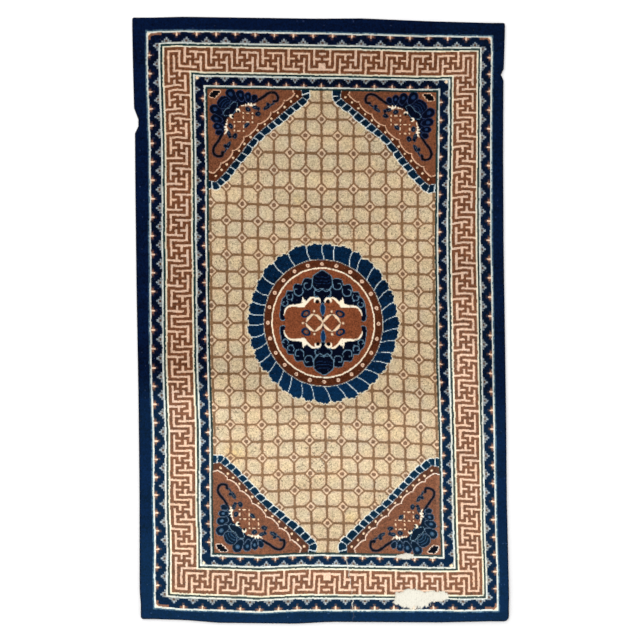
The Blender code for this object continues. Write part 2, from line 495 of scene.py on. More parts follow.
def paint_bat(sheet):
    """Half of a bat with cloud-scroll wings, over the middle of the medallion."""
    wing = (
        (0, 20), (4, 27), (9, 36), (9.5, 42), (12.5, 44.6), (18, 44), (19.8, 40.5), (21, 38.2),
        (27, 38.6), (29.2, 35.6), (29.8, 31.6), (35.2, 31.4), (36.9, 27.2), (40.2, 23.6), (41.6, 19),
        (42.6, 12.5), (43.2, 7.5), (42.2, 3.4), (38.8, 3), (38.2, 6.5), (38.5, 12), (34, 16.5),
        (29, 18), (22, 18.6), (16, 21), (11.5, 24.5), (6, 26),
    )
    sheet.outlined(sheet.blob(wing), "ink", "pale_blue", 0.7)
    for (x, y), size, lean in SCROLLS:
        hook = [
            (x + size * reach * math.cos(turn + lean), y + size * reach * math.sin(turn + lean))
            for turn, reach in SCROLL_HOOK
        ]
        sheet.draw("pale_blue", hook, 0.9)
    body = ((0, 52.8), (3.2, 51.2), (8.6, 47.4), (9.4, 44), (9.4, 38.6), (7, 34.8), (3.2, 33.2), (0, 35))
    left_half = tuple((-x, y) for x, y in reversed(body[1:-1]))
    sheet.outlined(sheet.blob(body + left_half), "ink", "pale_blue", 0.8)
    for height, reach in ((46.2, 6.4), (42.8, 8.2), (39.8, 8.2)):
        stripe = ((0, height), (reach * 0.6, height - 0.3), (reach, height + 1.0))
        sheet.draw("blue", stripe, 0.6)
    head = (
        (0, 33.5), (5.4, 33.2), (8.4, 30.4), (7.6, 27.2), (4.2, 26.4), (2.8, 22), (0, 19), (-3, 24),
        (-3, 31),
    )
    sheet.outlined(sheet.blob(head), "ink", "pale_blue", 0.5)
    collar = ((-3.6, 31.6), (0, 33.2), (3.6, 31.6), (6.6, 33), (8.6, 30.6), (7.4, 28.2))
    sheet.draw("pale_blue", collar, 0.8)
    sheet.dab("pale_blue", ((31, 22.6), 0.8))


def paint_heart_of_medallion(sheet):
    """Quarter of the four-lobed figure with its coins, leaves, eyes and dots."""
    figure = (
        (3, 18.5), (3.4, 23.5), (7.6, 24.6), (12, 23.2), (16.2, 18.6), (18.6, 15.6), (22, 15.6),
        (33, 15.8), (36.9, 12.4), (38.8, 7.6), (37.6, 2), (37.6, -2), (37, -6), (-4, -6), (-4, 14),
    )
    ruff = (
        (7.6, 25.6), (12.6, 25.6), (16.4, 22), (18.2, 23.6), (20, 20.2), (25.6, 18.6), (33.4, 17.6),
        (38.2, 13.6), (39.6, 7.4), (36.6, 9), (30, 12), (20, 12.6), (12, 20),
    )
    sheet.paint(sheet.blob(ruff), "white")
    sheet.paint(sheet.blob(((18, 19), (20.2, 26), (21.2, 19))), "white")
    sheet.paint(sheet.blob(figure), "rust")
    sheet.dab("white", ((5.4, 22.4), (3.6, 3.4)))
    sheet.dab("rust", ((5.3, 20.6), (2.3, 2.9)))
    sheet.dab("black", ((5.3, 21.4), 1.9))

    lens = ((0, 19.5), (2.1, 16), (1.8, 11), (0, 7.6), (-1.8, 11), (-2.1, 16))
    sheet.draw("ink", ((0, 7.5), (0, -7.5)), 1.3)
    sheet.outlined(sheet.blob(lens), "lens", "pale_blue", 0.5)

    sheet.outlined(sheet.oval((17.4, 9.3), (4.7, 3.4), -0.5), "petal", "steel", 0.3)
    sheet.dab("rust", ((17, 9.2), (2.6, 1.9), -0.5))
    sheet.dab("grey", ((16.8, 9.3), (1.1, 0.9), -0.5))

    # A coin is a disc with a square of ground set cornerwise in it
    coin_x, half_diagonal = 8.8, 7.9
    sheet.outlined(sheet.oval((coin_x, 0), (8.7, 8.9)), "peach", "umber", 0.35)
    square = (np.abs(sheet.x - coin_x) + np.abs(sheet.y) - half_diagonal) * ROOT_HALF
    sheet.paint(square, "umber", 0.4)
    sheet.paint(square, "rust")
    for dot in ((coin_x, 11.6), (20.2, 0.0)):
        sheet.dab("amber", (dot, 1.7))
        sheet.dab("peach", (dot, 1.1))


# The corner pieces

# Edge of a corner piece toward the field: its depth from the corner at these distances from the corner's
# diagonal, and how much sooner it ends by the long side. The near pieces are fuller than the far ones.
EDGE_OFF = (0, 10, 20, 30, 40, 48, 56.5, 63, 67.8, 71.8, 77.5)
FAR_EDGE = ((73.4, 73.9, 75, 76, 77, 78, 78.9, 79.2, 77.4, 73, 67), 1.6)
NEAR_EDGE = ((77, 77.3, 77.9, 78.4, 78.7, 78.9, 79.1, 79.3, 77.4, 73, 67), 2.3)
CORNER_REACH = (113, 116)  # part of the field's corner that is drawn for each piece
SOONER_FROM, SOONER_OVER = 45, 20  # where along the edge it starts to end sooner, and over what
BEHIND_CORNER = ((-20, 60), (-40, 0.0), (-20, -60))  # closes the piece's outline
# How far each butterfly is off its place: (deeper, toward the middle of the end), first those of the
# far end, the right one before the left one
BUTTERFLY_SHIFT = (((-1.0, 1.2), (-0.8, 1.6)), ((-0.5, 2.2), (0.4, 0.5)))
SCALLOP = 17.8  # length of one scallop of the cream line
SCALLOP_CROWD = 0.0005  # how much shorter they get with the distance from the diagonal
SCALLOP_DEPTHS = (14.4, 2.4, 3.4)  # from the edge to their ends, what the border adds, their rise
SCALLOP_LINE = 0.55  # half its width
# How the band deepens by the border: with the square of the distance from the diagonal, up to a most,
# and again from a place on and over a length
BAND_SQUARE, BAND_MOST, BAND_FROM, BAND_OVER = 45, 1.3, 62, 18
SPANDREL_DOTS = (4.7, 13.4, 22.4, 31.6, 40.4, 49, 57.6, 65.5)
DOTS_DEEP = (8.9, 1.8)  # from the edge, and what the border adds
SPANDREL_DOT = 1.15


def spandrel_sheet(corner):
    """A corner of the field by depth from the corner and distance from its diagonal."""
    u, v = FIELD_HALF[0] - corner.x, FIELD_HALF[1] - corner.y
    return Sheet(corner.yarn, (u + v) * ROOT_HALF, (u - v) * ROOT_HALF)


def spandrel_places(sheet, edge):
    """Distance in from a corner piece's edge, and length along it from the diagonal."""
    depths, less = edge
    half = smooth_line(np.transpose([depths, EDGE_OFF]))
    by_side = half[:0:-1]
    by_side = by_side - ramp(by_side[:, 1:], SOONER_FROM, SOONER_OVER, less)
    line = np.vstack([by_side * (1, -1), half])
    nearest = np.full(sheet.x.shape, np.inf)
    along = np.zeros(sheet.x.shape)
    length = 0.0
    for start, end in zip(line, line[1:]):
        size = math.dist(start, end)
        apart, share = sheet.from_segment(start, end)
        along = np.where(apart < nearest, length + share * size, along)
        nearest = np.minimum(nearest, apart)
        length += size
    outside = sheet.blob(np.vstack([line[::3], BEHIND_CORNER]))
    return -nearest * np.sign(outside), along - length / 2


def paint_spandrel(corner, places, shift):
    """A corner piece, but for its petals."""
    sheet = spandrel_sheet(corner)
    sheet.x = sheet.x - shift[0]
    sheet.y = np.abs(sheet.y - shift[1])
    from_edge, along = places
    off = np.abs(along)
    sheet.fill(from_edge > 0, "dark_rust")
    by_border = np.minimum((off / BAND_SQUARE) ** 2, BAND_MOST) + ramp(off, BAND_FROM, BAND_OVER)
    place = np.abs((along * (1.0 + SCALLOP_CROWD * off) / SCALLOP % 1.0) * 2 - 1.0)
    start, added, rise = SCALLOP_DEPTHS
    scallop = start + added * by_border - rise * np.sqrt(1.0 - (1.0 - place) ** 2)
    sheet.fill(from_edge > scallop, "brick")
    sheet.fill(np.abs(from_edge - scallop) < SCALLOP_LINE, "scallop")
    dots_deep = DOTS_DEEP[0] + DOTS_DEEP[1] * by_border
    for dot in SPANDREL_DOTS:
        sheet.fill(np.hypot(from_edge - dots_deep, off - dot) < SPANDREL_DOT, "peach")
    paint_butterfly(sheet)
    cloud = Sheet(corner.yarn, FIELD_HALF[0] - corner.x, FIELD_HALF[1] - corner.y)
    for name, grow in (("scallop", 0.6), ("black", 0.0)):
        for puff in PUFFS:
            cloud.paint(cloud.oval(*puff), name, grow)


# Lobes of half a butterfly's wing: (centre, (half length, half width), direction, its light spot)
LOBES = (
    ((40.1, 25.2), (3.5, 2.7), -1.16, None),
    ((35.2, 21.3), (5, 3.4), -0.73, (34.8, 21.6)),
    ((29.1, 17), (5.9, 4), -0.49, (28.6, 17.5)),
    ((22.4, 11), (6.9, 4.7), -0.22, (20.9, 11.2)),
)
# Its teeth of white between the wing and the coins, as (centre, half sizes, direction)
TEETH = (
    ((39.2, 13.9), (1.3, 0.7), 2.4), ((40.6, 16.6), (1.6, 0.9), 2.6), ((42.4, 18.6), (1.5, 0.8), 2.2),
    ((43.6, 17.4), (1.5, 0.9), 0.6), ((44.9, 20.6), (1.2, 0.7), 1.4),
)
# Bits of cloud round it: (centre, half sizes, direction)
BITS = (
    ((48, 19.2), (3.3, 1.7), 0.5), ((50.8, 20.6), (1.6, 1.3), 1.4), ((53.9, 16.4), (2.6, 2), 1.0),
    ((55.6, 27.6), (3.6, 1.6), 1.3), ((54.4, 30.6), (1.9, 1.5), 0.2), ((56.9, 33.4), (1.9, 0.6), 1.2),
    ((54.2, 0.0), (1.8, 2.8), 0.0), ((43.7, 12.4), (2.6, 2), 0.3),
)
BIT_LIGHTS = (
    ((47.4, 18.6), (1.4, 0.6), 0.5), ((54.2, 17), (1.1, 0.6), 1.0), ((55.2, 27), (1.7, 0.6), 1.3),
    ((43.8, 12.6), (1.2, 0.8), 0.3), ((53.8, 0.9), (0.6, 1.1), 0.0),
)
# Puffs of the small dark cloud in the very corner, from the corner in: (centre, radii)
PUFFS = (
    ((11, 3.1), (2.1, 1.5)), ((7.4, 3), (2.2, 1.6)), ((8.4, 5.6), (2.4, 1.7)), ((5, 5.4), (2.3, 1.8)),
    ((3.6, 7.4), (1.7, 1.4)), ((6.4, 7.9), (1.9, 1.3)),
)
# The butterfly's coin: its depth, its distance from the diagonal, and half its side
COIN_DEPTH, COIN_SIDE, COIN_REACH = 49.6, 6.4, 4.6


def paint_butterfly(sheet):
    """Half of a butterfly that faces away from the corner, by depth and distance from the diagonal."""
    feeler = (
        (43.6, 23.9), (45.3, 31), (46.4, 38.6), (48.4, 42.4), (51.4, 44.2), (55.2, 43.4), (58, 40),
        (56.6, 37.2),
    )
    tip = sheet.oval((56.4, 37.2), (1.7, 1.3), 1.2)
    sheet.outlined(np.minimum(sheet.stroke(feeler, 2.2), tip), "black", "rim", 0.5)
    for bit in BITS:
        sheet.outlined(sheet.oval(*bit), "ink", "slate", 0.4)
    sheet.draw("ink", ((50.4, 20.4), (52.6, 19), (53.6, 17.6)), 0.9)
    sheet.dab("slate", *BIT_LIGHTS)

    wing = (
        (19, 0), (20, 6), (25, 13), (31, 17.4), (36.5, 21.6), (41.5, 25.4), (44.5, 24.2), (42, 18.6),
        (38, 13.4), (35.6, 8.5), (37.5, 4), (37.5, 0), (37.5, -4), (30, -8), (19, -4),
    )
    sheet.paint(sheet.blob(wing), "ink")
    for centre, (half_long, half_wide), turn, light in LOBES:
        reach = half_long - half_wide
        head = (centre[0] - reach * math.cos(turn), centre[1] - reach * math.sin(turn))
        tail = sheet.oval(centre, (half_long, 0.8 * half_wide), turn)
        sheet.outlined(np.minimum(sheet.oval(head, half_wide), tail), "ink", "steel", 0.45)
        if light:
            sheet.dab("blue", (light, (0.5 * half_wide, 0.42 * half_wide), turn))
            sheet.dab("steel", (light, (0.2 * half_wide, 0.16 * half_wide), turn))
    sheet.outlined(sheet.oval((21.9, 0.0), (5.8, 7)), "ink", "steel", 0.45)
    for depth in (19.6, 22.6, 25.4):
        arc = ((depth + 1.4, 5), (depth + 0.4, 3.4), (depth - 0.4, 0.0), (depth + 0.4, -3.4))
        sheet.draw("blue", arc, 0.7)
    head = (
        (29.8, 0), (28.6, 3.4), (29.4, 7.8), (32.4, 8.8), (33.9, 6.4), (35.8, 3.4), (36.4, 0), (35.8, -3.4),
        (31, -7.4), (28.8, -4),
    )
    sheet.outlined(sheet.blob(head), "ink", "pale_blue", 0.55)

    edge = ((36.8, 9.8), (39.6, 14), (42, 17), (44, 19.2), (45.2, 22.4))
    sheet.draw("white", edge, 0.8)
    sheet.dab("white", *TEETH, ((37.6, 4.4), (2.3, 2)))
    sheet.dab("black", ((38.4, 3.8), (1.4, 1.2)))
    paint_small_coin(sheet)


def paint_small_coin(sheet):
    """A ring of four dashes with a dot at each corner, square to the rug's sides."""
    u = np.abs((sheet.x + sheet.y - COIN_DEPTH - COIN_SIDE) * ROOT_HALF)
    v = np.abs((sheet.x - sheet.y - COIN_DEPTH + COIN_SIDE) * ROOT_HALF)
    coin = Sheet(sheet.yarn, u, v)
    coin.paint(np.abs(np.maximum(u, v) - COIN_REACH), "ring", 0.55)
    for place, radii in (((1, 0), (0.6, 2)), ((0, 1), (2, 0.6)), ((1, 1), 0.8)):
        coin.dab("peach", (np.multiply(place, COIN_REACH), radii))


# Petals, no two of which are alike

# Lines between the medallion's petals, in degrees clockwise from the far end
PETAL_LINES = (
    -170, -161, -150.5, -141, -130, -120.5, -110, -100.5, -91, -82.5, -73, -64, -52, -39, -25.5, -10.6, 1.5,
    10.4, 24, 32, 44, 55, 64, 75, 86, 96, 105.5, 116, 125, 135.5, 146, 157, 166, 177.5,
)
PETAL_LEAN = 0.1  # how far the far-left petals lean, in radians
PETAL_LEAN_TO = 0.9  # direction away from which they lean
PETALS_FROM = 0.79  # where they start, as a share of the medallion's radius
PETAL_BOW = 0.018  # how far the lines between them bend, in radians
# As shares of the medallion's radius: reach of a petal's middle, how much less its sides reach, the steps
# in its end, how much petals differ, and the widths of their outlines outside and inside
CROWN, CROWN_ROUND, TOOTH, PETAL_DIFFERENCE = 1.006, 0.028, 0.012, 0.008
OUTER_LINE, INNER_LINE = 0.012, 0.008
CROWN_SLANT, CROWN_LEAN, TEETH_CROWD = 0.6, 0.4, 1.3  # how their ends differ
PETAL_SEED = 11
PETAL_LINE_HALF = 0.38, 0.45  # half width of the lines between petals: medallion, corner pieces
# Along a corner piece, in steps
PETALS_DEEP = 6.6  # from the edge in, on the diagonal
PETALS_DEEPER_BY = 70  # distance from the diagonal at which they are a step deeper
PETALS_DEEPER_FROM, PETALS_DEEPER_OVER = 66, 14  # where they deepen by another
PETAL_WIDE, PETAL_UNEVEN, ROW_HALF = 8.2, 0.2, 88
PETAL_TILT = 0.16  # how far each leans for its depth
ROW_LINE, ROW_LINE_INNER = 0.8, 0.4  # widths of the outline on its two sides
PETAL_STEP, PETAL_SLANT = 0.6, 0.5  # how much their ends differ in place and in slant


def petal_places(lines, place):
    """Number of the petal at a place, share off its middle from -1 to 1, and distance from its sides."""
    number = np.clip(np.searchsorted(lines, place, side="right") - 1, 0, len(lines) - 2)
    wide = lines[number + 1] - lines[number]
    across = (place - lines[number]) / wide * 2 - 1.0
    return number, across, (1.0 - np.abs(across)) * wide / 2


def paint_petal_ring(sheet, rng):
    """The medallion's blue petals, outlined in cream and parted by bent white lines."""
    size = np.hypot(sheet.x / MEDALLION[0], sheet.y / MEDALLION[1])
    inner = np.hypot(sheet.x / RING[0], sheet.y / RING[1])
    turn = np.arctan2(sheet.x, sheet.y)
    lines = np.radians(PETAL_LINES)
    lines = np.concatenate([lines[-1:] - 2 * math.pi, lines, lines[:1] + 2 * math.pi])
    share = ramp(size, PETALS_FROM, 1.0 - PETALS_FROM)
    lean = PETAL_LEAN * (0.5 - 0.5 * np.cos(turn + PETAL_LEAN_TO)) * (share - 0.5)
    number, across, to_line = petal_places(lines, turn + lean + PETAL_BOW * np.sin(share * math.pi))
    tilt = rng.uniform(-CROWN_SLANT, CROWN_SLANT, len(lines))[number]
    teeth = TOOTH * np.floor(2 * ((across * TEETH_CROWD + tilt) % 1.0))
    outer = CROWN - CROWN_ROUND * (across - CROWN_LEAN * tilt) ** 2 - teeth
    outer += PETAL_DIFFERENCE * rng.uniform(-1, 1, len(lines))[number]
    by_line = to_line * size * sum(MEDALLION) / 2 < PETAL_LINE_HALF[0]
    sheet.fill((inner > 1.0) & (size < outer + OUTER_LINE), "cream")
    sheet.fill((inner > 1.0 + INNER_LINE) & (size < outer), "petal")
    sheet.fill((inner > 1.0) & (size < outer) & by_line, "petal_line")


def paint_petal_row(sheet, places, rng):
    """The blue petals along a corner piece, outlined in white."""
    from_edge, along = places
    off = np.abs(along)
    deep = PETALS_DEEP + (off / PETALS_DEEPER_BY) ** 2 + ramp(off, PETALS_DEEPER_FROM, PETALS_DEEPER_OVER)
    gaps = 1.0 + rng.uniform(-PETAL_UNEVEN, PETAL_UNEVEN, round(2 * ROW_HALF / PETAL_WIDE))
    lines = ROW_HALF * (2 * np.concatenate([[0.0], np.cumsum(gaps) / gaps.sum()]) - 1)
    number, across, to_line = petal_places(lines, along + PETAL_TILT * (from_edge - deep / 2))
    step, slant = (share * rng.uniform(-1, 1, len(lines))[number] for share in (PETAL_STEP, PETAL_SLANT))
    start = np.abs(across) ** 3 + step + slant * across
    row = (from_edge > start - ROW_LINE) & (from_edge < deep)
    sheet.fill(row, "petal_line")
    sheet.fill(row & (from_edge < deep / 2), "chalk")
    sheet.fill((from_edge > start) & (from_edge < deep - ROW_LINE_INNER), "teal")
    sheet.fill(row & (to_line < PETAL_LINE_HALF[1]), "petal_line")


def mirrored(quarter):
    """A quarter and its mirror images, as one whole."""
    right = np.vstack([quarter[::-1], quarter])
    return np.hstack([right[:, ::-1], right])


def draw_chart():
    """The whole design as yarn numbers, rows from the near end up."""
    columns, rows = (int(half * SAMPLES) for half in CHART_HALF)
    a, b = np.meshgrid(*((np.arange(-count, count) + 0.5) / SAMPLES for count in (columns, rows)))
    quarter = Sheet(np.zeros((rows, columns), np.uint8), a[rows:, columns:], b[rows:, columns:])
    paint_field(quarter)
    paint_border(quarter)
    wide, long = (int((radius + RING_SPARE) * SAMPLES) for radius in RING)
    paint_medallion(quarter.part(np.s_[:long, :wide]))

    chart = mirrored(quarter.yarn)
    rng = np.random.default_rng(PETAL_SEED)
    wide, long = (int((radius + PETAL_SPARE) * SAMPLES) for radius in MEDALLION)
    middle = np.s_[rows - long:rows + long, columns - wide:columns + wide]
    paint_petal_ring(Sheet(chart, a, b).part(middle), rng)
    window = tuple(
        slice(int((half - reach) * SAMPLES), int(half * SAMPLES))
        for half, reach in zip(FIELD_HALF[::-1], CORNER_REACH[::-1])
    )
    ends = ((chart[rows:], FAR_EDGE), (chart[rows - 1::-1], NEAR_EDGE))
    for (end, edge), shifts in zip(ends, BUTTERFLY_SHIFT):
        places = spandrel_places(spandrel_sheet(quarter.part(window)), edge)
        for side, shift in zip((end[:, columns:], end[:, columns - 1::-1]), shifts):
            corner = Sheet(side, quarter.x, quarter.y).part(window)
            paint_spandrel(corner, places, shift)
            paint_petal_row(corner, places, rng)
    return chart


# Noise that is the same each run

# Layers of noise, each as (strength, size of its features across and along, seed)
WOBBLE_ACROSS = ((0.15, (0.02, 0.016), 4), (0.24, (0.01, 0.007), 7))
WOBBLE_ALONG = ((0.15, (0.016, 0.02), 6), (0.24, (0.007, 0.01), 8))
RAGGED_EDGE = ((0.14, (0.012, 0.01), 21), (0.14, (0.004, 0.008), 22))
FOLD_BEND = ((0.0024, (0.05, 0.012), 23), (0.0016, (0.006, 0.005), 25))
FOLD_PATCHES = ((0.7, (0.02, 0.01), 24),)
STAIN_PATCHES = ((0.5, (0.008, 0.008), 31),)
DARK_SPECKS = ((1.0, (0.0045, 0.0045), 33), (0.35, (0.1, 0.1), 34))
LIGHT_SPECKS = ((1.0, (0.006, 0.005), 35),)
BARE_PATCHES = ((0.14, (0.004, 0.005), 36),)
TUFTS = ((0.00022, (0.018, 0.014), 41), (0.00014, (0.006, 0.005), 42))
PALING_LINE = ((0.04, (0.25, 0.2), 51),)
DYE_LOTS = ((0.9, (0.35, 0.045), 52),)
STREAKS = (0.6, (0.6, 0.006))  # each mesh has its own seed for these
MOTTLE = ((0.6, (0.005, 0.0045), 53),)
WARMTH = ((0.03, (0.022, 0.02), 54), (0.04, (0.055, 0.05), 55))
NOISE_GRID = (97, 89)
NOISE_OFF = 500  # keeps the places on the grid above 0


def blend(grid, i, j, share_i, share_j):
    """Value of a grid between four of its entries. The grid repeats past its ends."""
    value = 0.0
    for di, weight_i in enumerate((1 - share_i, share_i)):
        for dj, weight_j in enumerate((1 - share_j, share_j)):
            corner = grid[(i + di) % grid.shape[0], (j + dj) % grid.shape[1]]
            value = value + weight_i * weight_j * corner
    return value


def soft_noise(x, y, layers):
    """Sum of layers of smooth noise, each from -1 to 1 times its strength."""
    total = 0.0
    for strength, size, seed in layers:
        grid = np.random.default_rng(seed).uniform(-1.0, 1.0, NOISE_GRID)
        u, v = x / size[0] + NOISE_OFF, y / size[1] + NOISE_OFF
        i, j = np.floor(u).astype(int), np.floor(v).astype(int)
        share_i, share_j = ((part * part * (3 - 2 * part)) for part in (u - i, v - j))
        total = total + strength * blend(grid, i, j, share_i, share_j)
    return total


# From the rug to the chart

def table_value(table, place):
    """Value of a table of (place, value) rows at many places."""
    return np.interp(place, *zip(*table))


def mapped(value, marks):
    """Chart steps for a place between marks, each as (place, steps), and on evenly past their ends."""
    (first, steps), (last, last_steps) = marks[0], marks[-1]
    result = steps + (value - first) / STEP
    for (low, low_steps), (high, high_steps) in zip(marks, marks[1:]):
        share = (value - low) / (high - low)
        result = np.where(share > 0, low_steps + share * (high_steps - low_steps), result)
    return np.where(value > last, last_steps + (value - last) / STEP, result)


def slip(x, y):
    """How far the pattern lies off its even place, across and along, in metres."""
    column = np.interp(x, SLIP_COLUMNS, range(len(SLIP_COLUMNS)))
    row = np.interp(y, SLIP_ROWS, range(len(SLIP_ROWS)))
    i = np.minimum(column.astype(int), len(SLIP_COLUMNS) - 2)
    j = np.minimum(row.astype(int), len(SLIP_ROWS) - 2)
    return [blend(np.array(table) * STEP, j, i, row - j, column - i) for table in (SLIP_ACROSS, SLIP_ALONG)]


def to_chart(x, y):
    """Chart coordinates of points of the rug."""
    slip_x, slip_y = slip(x, y)
    x, y = x - slip_x, y - slip_y
    left, right = table_value(LEFT_LINE, y), table_value(RIGHT_LINE, y)
    near, far = table_value(NEAR_LINE, x), table_value(FAR_LINE, x)
    half_a, half_b = FIELD_HALF
    a = mapped(x, (
        (left, -half_a - BORDER), (left + LEFT_BORDER, -half_a),
        (right - RIGHT_BORDER, half_a), (right, half_a + BORDER),
    ))
    near_marks = ((near, -half_b - BORDER), (near + NEAR_BORDER, -half_b))
    far_marks = ((far - FAR_BORDER, half_b), (far, half_b + BORDER))
    in_field = mapped(y, near_marks + ((MEDALLION_Y, 0.0),) + far_marks)
    b = np.where(np.abs(a) < half_a, in_field, mapped(y, near_marks + far_marks))
    return a + soft_noise(x, y, WOBBLE_ACROSS), b + soft_noise(x, y, WOBBLE_ALONG)


def look_up(chart, a, b):
    """Yarn numbers at chart coordinates."""
    column = ((a + CHART_HALF[0]) * SAMPLES).astype(int).clip(0, chart.shape[1] - 1)
    row = ((b + CHART_HALF[1]) * SAMPLES).astype(int).clip(0, chart.shape[0] - 1)
    return chart[row, column]


# Colour of each knot

def linear(colour):
    """Linear colour from sRGB out of 255."""
    share = np.asarray(colour, float) / 255
    return np.where(share <= 0.04045, share / 12.92, ((share + 0.055) / 1.055) ** 2.4)


LAMPS = 1.12  # the stage's light on a flat place, where 1 shows a colour as it is
EYE = 2.2  # yarns side by side mix as the eye sees them
MIDDLE_WEIGHT = 6  # a knot takes its colour mostly from the chart at its middle
YARN_COLOUR = np.array([linear(row[1]) for row in YARNS]) / LAMPS
LOT_SPREAD = np.array([row[2] for row in YARNS])
KNOT_SPREAD = np.array([row[3] for row in YARNS])
BARE_COLOUR = linear((249, 245, 230)) / LAMPS
# What paling adds to some of the yarns, and to the others
PALING_TINTS = {
    "petal": (0.002, 0.01, 0.019), "teal": (0.002, 0.01, 0.019), "haze": (0.002, 0.01, 0.019),
    "navy": (0.001, 0.005, 0.0098), "guard_navy": (0.0016, 0.008, 0.017), "ink": (0.003, 0.01, 0.018),
    "black": (0.001, 0.003, 0.006), "blue": (0.03, 0.07, 0.09), "steel": (0.09, 0.13, 0.14),
    "pale_blue": (0.08, 0.1, 0.09), "scallop": (0.14, 0.22, 0.24),
}
PALING_TINT = np.array([PALING_TINTS.get(row[0], (0.018, 0.018, 0.015)) for row in YARNS])
PALING_LIFT = 0.3  # how much lighter the paled yarns are, before that tint
# Where colours pale, along the rug (y) or across it (x): (from, over, how much)
PALING_FROM, PALING_OVER = -0.2, 0.16  # of all yarns, along
LEFT_SOONER = (-0.3, 0.04)  # left of this place they start this much sooner
RIGHT_FRET = (0.42, 0.515)
RIGHT_FRET_SOONER, RIGHT_FRET_LONGER = 0.42, 0.26
FIELD_SIDES, FIELD_NEAR = (-0.37, 0.38), -0.77  # the border lies beyond these
BORDER_MORE = 0.5  # how much more the border pales
BORDER_PALER = (-0.45, -0.15, 0.25)  # along
RIGHT_PALER = ((0.2, 0.1, 0.14), (0.36, 0.05, 0.16))  # across
FIELD_DARKER = (0.4, 0.2, 0.25)  # along, in the far half of the field
PALE_BAND = (-0.39, 0.12, 0.12)  # middle, half width, how much
NAVY_PALER = (-0.66, -0.1, 0.7)  # along
PETALS_BLUER, BLUER_OVER, DULLER = 0.5, 0.25, -0.3  # toward the near end, over this, and the other way
KNOT_NOISE = 0.5  # how much single knots differ
LIFT_LIMITS = (0.2, 2.5)
WARMEST_FROM = 0.4  # brightness from which wool shows its warm and cool patches in full
# Yellowish stains: (x, y, half size across, half size along, strength)
STAINS = (
    (-0.075, 0.395, 0.022, 0.028, 0.7), (-0.277, -0.432, 0.04, 0.042, 0.8),
    (0.103, -0.65, 0.028, 0.022, 0.6), (0.13, 0.627, 0.014, 0.014, 0.5),
    (-0.01, 0.48, 0.12, 0.05, 0.25), (0.215, -0.3, 0.06, 0.11, 0.22),
    (-0.23, 0.12, 0.06, 0.14, 0.2), (0.25, 0.19, 0.07, 0.12, 0.15),
)
STAIN_TINT = np.array((1.02, 0.93, 0.66))
STAIN_RIM, STAIN_MEAN = (1.3, -1.0), 0.7  # how they start, as for the worn places, and their strength
WARMER = np.array((0.8, -0.1, -1.2))  # a warmer patch of the wool, by colour channel
STAINED_FIELD = ((0.01, 0.37), (-0.005, 0.76))  # middle and half size of the part that has stains
PALE_FROM, DARK_UNDER = 0.25, 0.06  # brightness of wool that shows stains, and light specks
DARK_SPECK_FROM, MORE_IN_NEAR, NEAR_FIELD = 0.74, 0.05, -0.28
SPECK_GAIN, SPECK_MOST = 4, 0.55
LIGHT_SPECK_FROM, LIGHT_SPECK_GAIN, LIGHT_SPECK_ADDS = 0.93, 2.2, 0.02
CORD_SHADE = 0.04  # every other bare cord is this much darker


def share_out(x, y, place):
    """Distance from the middle of an oval place, where its rim is at 1."""
    centre_x, centre_y, half_x, half_y = place
    return np.hypot((x - centre_x) / half_x, (y - centre_y) / half_y)


def worn_share(x, y):
    """1 where the pile has gone, 0 where it is whole, with a ragged edge."""
    ragged = soft_noise(x, y, RAGGED_EDGE)
    worn = [ramp(share_out(x, y, place) + ragged, *WORN_RIM) for place in WORN_PLACES]
    return np.maximum.reduce(worn)


def fold_share(x, y):
    """1 on the worn fold, 0 off it."""
    distance = Sheet(None, x + soft_noise(x, y, FOLD_BEND), y).stroke(FOLD_LINE, FOLD_WIDTH)
    share = table_value(FOLD_WEAR, y) * (1.0 + soft_noise(x, y, FOLD_PATCHES))
    return ramp(distance, 0.0, -FOLD_WIDTH / FOLD_STEEP) * np.clip(share, 0.0, 1.0)


def paling_toward_near(x, y):
    """0 where the colours are full, 1 where they are paler, toward the near end."""
    in_border = (x < FIELD_SIDES[0]) | (x > FIELD_SIDES[1]) | (y < FIELD_NEAR)
    in_right_fret = (x > RIGHT_FRET[0]) & (x < RIGHT_FRET[1])
    start = PALING_FROM + soft_noise(x, y, PALING_LINE) + LEFT_SOONER[1] * (x < LEFT_SOONER[0])
    start = start + RIGHT_FRET_SOONER * in_right_fret
    share = ramp(y, start, -PALING_OVER - RIGHT_FRET_LONGER * in_right_fret)
    share = share * share * (3 - 2 * share) + in_border * ramp(y, *BORDER_PALER)
    middle, half, height = PALE_BAND
    share = share + height * np.exp(-((y - middle) / half) ** 2) * ~in_border
    side = sum(ramp(x, *facts) for facts in RIGHT_PALER)
    dark = ramp(y, *FIELD_DARKER) * ~in_border
    return share * (1.0 + BORDER_MORE * in_border) + side * (1 - share) - dark


